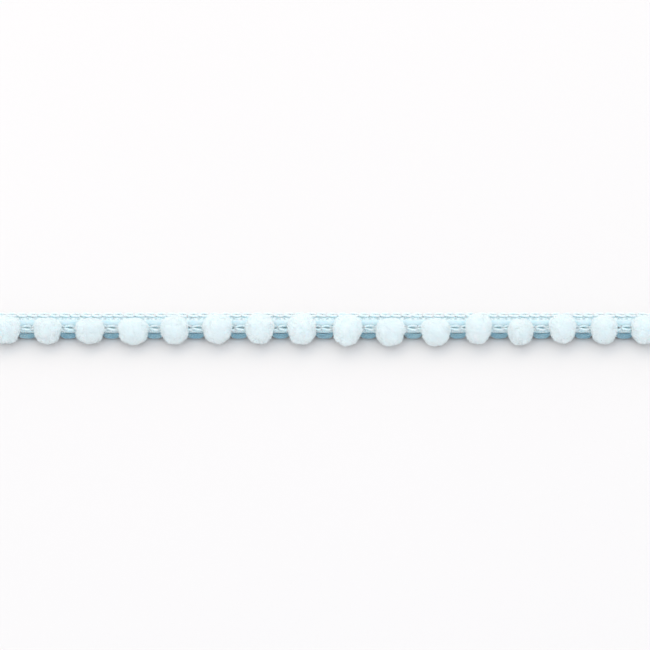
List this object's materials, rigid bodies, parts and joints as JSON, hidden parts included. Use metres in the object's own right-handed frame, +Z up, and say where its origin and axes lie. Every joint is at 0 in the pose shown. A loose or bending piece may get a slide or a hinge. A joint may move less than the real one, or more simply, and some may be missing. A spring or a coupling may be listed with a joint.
{
  "type": "pompom fringe trim",
  "caption": "Cut length of narrow knitted braid with a row of small, dense, sheared yarn pompoms bound along one edge, lying flat as sewn trim does before use.",
  "frame": {"origin": "centre of the bounding box's bottom face, on the surface that the trim lies on", "axes": "+X along the trim from left to right in the picture, +Y away from the viewer towards the braid's free edge, +Z up"},
  "size_m": [0.135, 0.0086, 0.0054],
  "materials": {
    "braid_yarn": "matte knitted polyester yarn, pale blue",
    "pompom_pile": "matte sheared polyester pile, paler blue"
  },
  "bodies": {
    "root": {"braid": "braid_yarn", "pompom_01": "pompom_pile", "pompom_02": "pompom_pile", "pompom_03": "pompom_pile", "pompom_04": "pompom_pile", "pompom_05": "pompom_pile", "pompom_06": "pompom_pile", "pompom_07": "pompom_pile", "pompom_08": "pompom_pile", "pompom_09": "pompom_pile", "pompom_10": "pompom_pile", "pompom_11": "pompom_pile", "pompom_12": "pompom_pile", "pompom_13": "pompom_pile", "pompom_14": "pompom_pile", "pompom_15": "pompom_pile", "pompom_16": "pompom_pile", "pompom_17": "pompom_pile", "pompom_18": "pompom_pile"}
  },
  "joints": []
}
